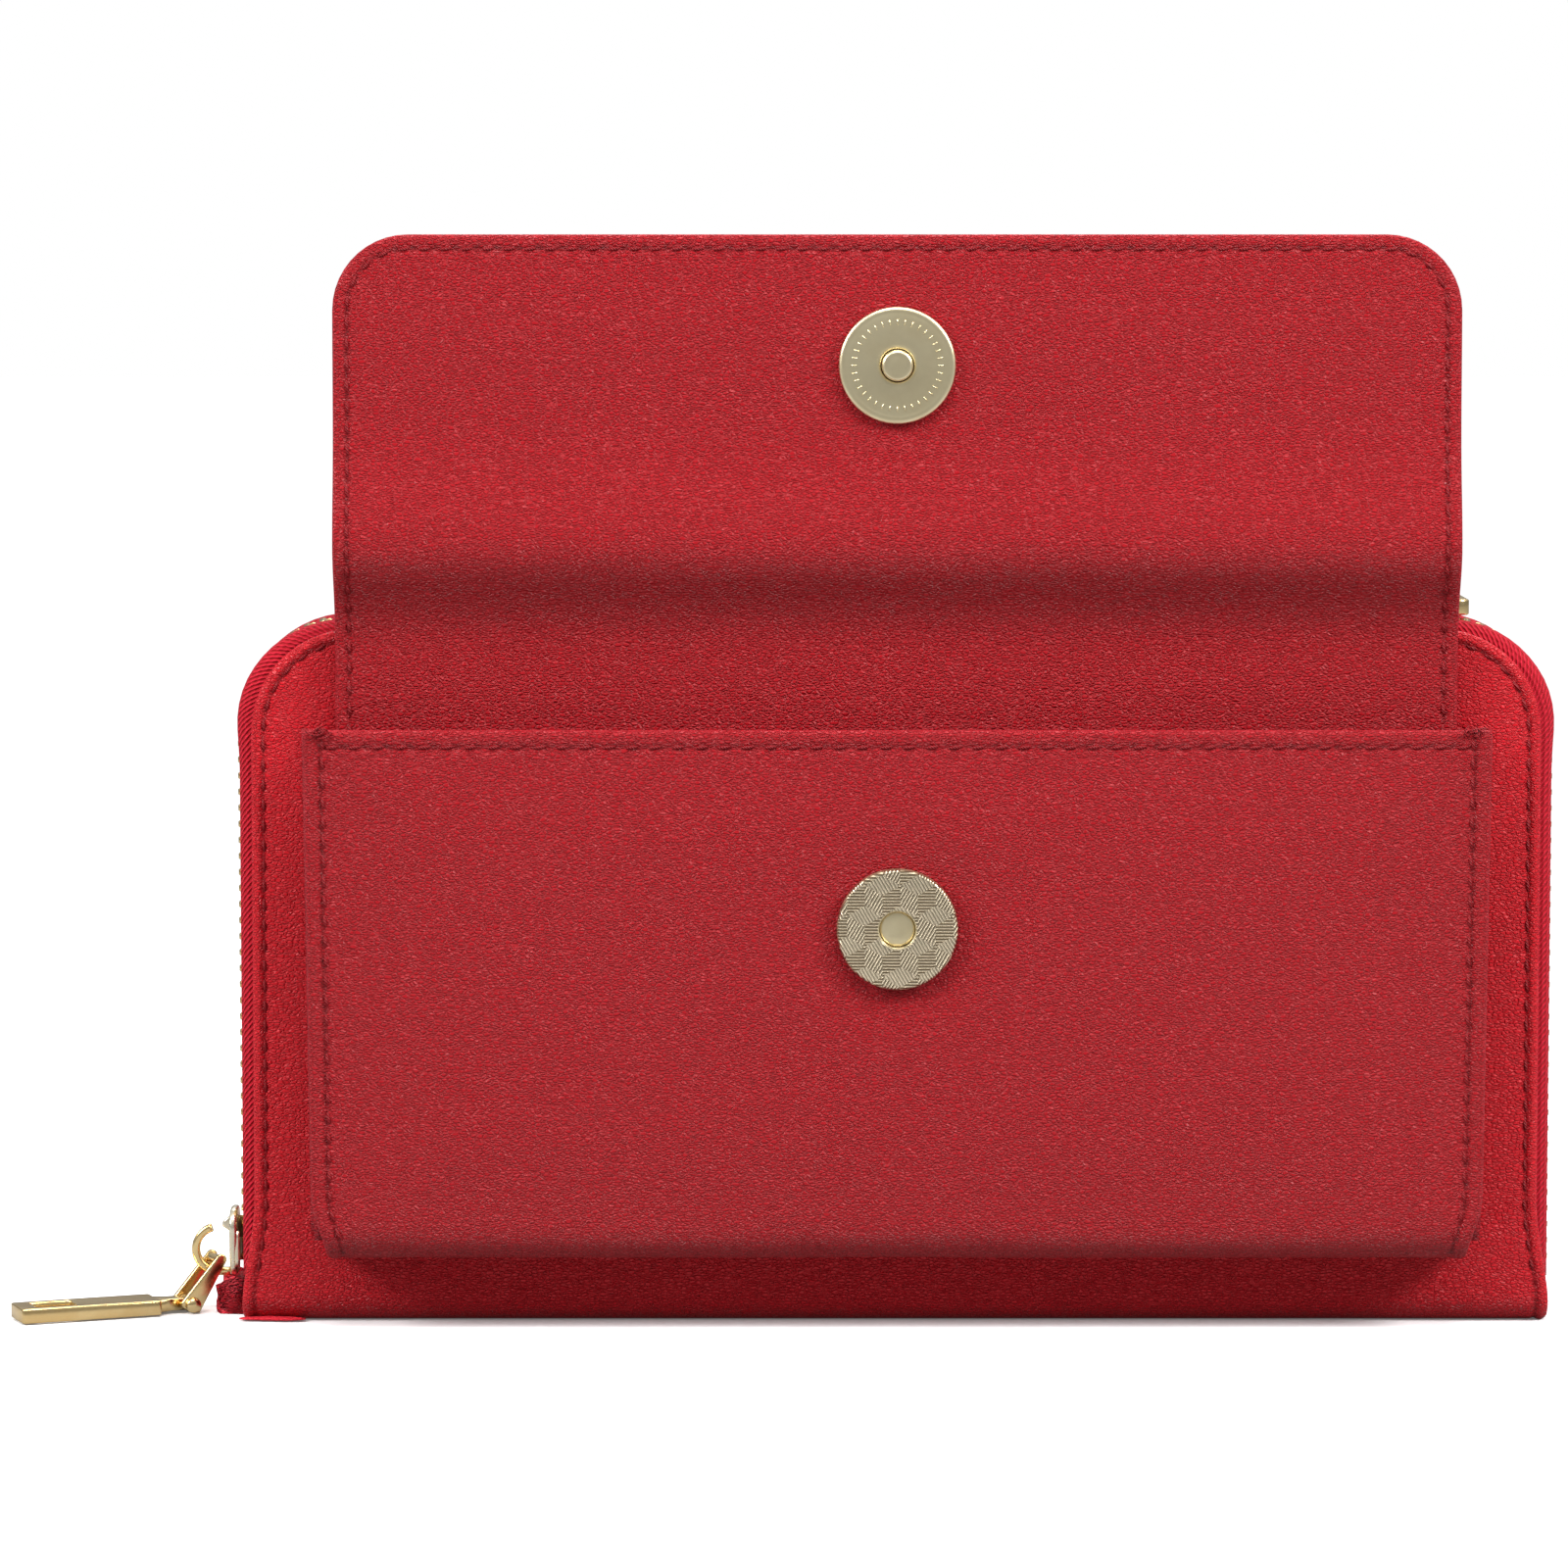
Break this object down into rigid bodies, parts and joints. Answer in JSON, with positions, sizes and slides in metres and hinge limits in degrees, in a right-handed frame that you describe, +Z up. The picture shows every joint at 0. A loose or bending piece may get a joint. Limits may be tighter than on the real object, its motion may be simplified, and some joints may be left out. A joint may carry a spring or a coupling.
{
  "type": "phone wallet case",
  "caption": "Long zip-around leather wallet with a phone pocket on its front, a magnetic snap flap, card slots, a coin pocket and a wrist-strap ring.",
  "frame": {"origin": "middle of the flat underside of the spine that the wallet stands on", "axes": "+X along the wallet's length, to the right seen from the pocket side; +Y towards the plain back cover; +Z up, towards the zip's long run"},
  "size_m": [0.2404, 0.0412, 0.1676],
  "materials": {
    "red_leather": "pebbled, semi-gloss",
    "lining_cloth": "plain woven lining",
    "zip_tape_cloth": "woven zip tape",
    "polished_gold": "polished light gold",
    "pale_gold": "satin champagne gold",
    "snap_steel": "plain nickel"
  },
  "bodies": {
    "back_half": {"back_cover": "red_leather", "back_lining": "lining_cloth", "back_card_slot_1": "red_leather", "back_card_slot_2": "red_leather", "back_card_slot_3": "red_leather", "back_card_slot_4": "red_leather", "back_zip_tape": "zip_tape_cloth", "back_zip_teeth": "polished_gold", "spine_cover": "red_leather", "spine_lining": "lining_cloth", "gusset_left": "lining_cloth", "gusset_right": "lining_cloth", "zip_end_tab_left": "red_leather", "zip_end_tab_right": "red_leather", "zip_stop_back": "polished_gold", "zip_stop_end": "polished_gold", "strap_tab": "red_leather", "strap_tab_rivet": "polished_gold"},
    "front_half": {"front_cover": "red_leather", "front_lining": "lining_cloth", "front_card_slot_1": "red_leather", "front_card_slot_2": "red_leather", "front_card_slot_3": "red_leather", "front_card_slot_4": "red_leather", "front_zip_tape": "zip_tape_cloth", "front_zip_teeth": "polished_gold", "zip_stop_front": "polished_gold", "flap_root": "red_leather", "pocket_front": "red_leather", "pocket_lining": "lining_cloth", "pocket_gusset_left": "red_leather", "pocket_gusset_right": "red_leather", "pocket_gusset_bottom": "red_leather", "snap_socket_cap": "pale_gold", "snap_magnet": "snap_steel", "snap_socket_washer": "snap_steel"},
    "flap": {"flap_outer": "red_leather", "flap_lining": "red_leather", "snap_disc": "pale_gold", "snap_stud": "pale_gold", "snap_stud_washer": "snap_steel"},
    "divider": {"coin_pocket_front": "red_leather", "coin_pocket_back": "red_leather", "coin_pocket_floor": "lining_cloth", "coin_zip_tape_front": "zip_tape_cloth", "coin_zip_tape_back": "zip_tape_cloth", "coin_zip_teeth_front": "polished_gold", "coin_zip_teeth_back": "polished_gold"},
    "coin_slider": {"coin_slider": "polished_gold"},
    "coin_pull": {"coin_pull": "polished_gold"},
    "zip_slider": {"slider_body": "polished_gold", "slider_hook": "polished_gold"},
    "pull_link": {"pull_link": "polished_gold", "pull_pin": "polished_gold"},
    "pull_tab": {"pull_tab": "polished_gold"},
    "strap_ring": {"strap_ring": "polished_gold"}
  },
  "joints": [
    {"name": "cover_open", "type": "hinge", "parent": "back_half", "child": "front_half", "pos_m": [0, -0.012, 0.001], "axis": [1, 0, 0], "range_deg": [0, 40]},
    {"name": "flap_fold", "type": "hinge", "parent": "front_half", "child": "flap", "pos_m": [0, -0.0225, 0.1052], "axis": [1, 0, 0], "range_deg": [0, 180]},
    {"name": "divider_swing", "type": "hinge", "parent": "back_half", "child": "divider", "pos_m": [0, 0, 0.003], "axis": [1, 0, 0], "range_deg": [0, 20]},
    {"name": "slider_travel", "type": "slide", "parent": "back_half", "child": "zip_slider", "axis": [0, 0, 1], "range_m": [0, 0.075]},
    {"name": "link_swing", "type": "hinge", "parent": "zip_slider", "child": "pull_link", "pos_m": [-0.1061, 0, 0.008], "axis": [-0.3746, 0.9272, 0], "range_deg": [0, 30]},
    {"name": "tab_swing", "type": "hinge", "parent": "pull_link", "child": "pull_tab", "pos_m": [-0.11032, -0.0017, 0.0014], "axis": [-0.3746, 0.9272, 0], "range_deg": [0, 60]},
    {"name": "strap_ring_swing", "type": "hinge", "parent": "back_half", "child": "strap_ring", "pos_m": [0.0803, 0.0113, 0.1103], "axis": [-1, 0, 0], "range_deg": [0, 180]},
    {"name": "coin_slider_travel", "type": "slide", "parent": "divider", "child": "coin_slider", "axis": [1, 0, 0], "range_m": [0, 0.135]},
    {"name": "coin_pull_swing", "type": "hinge", "parent": "coin_slider", "child": "coin_pull", "pos_m": [-0.0696, 0, 0.09485], "axis": [0, -1, 0], "range_deg": [0, 90]}
  ],
  "couplings": [
    {"joint": "divider_swing", "follows": "cover_open", "ratio": 0.5}
  ]
}
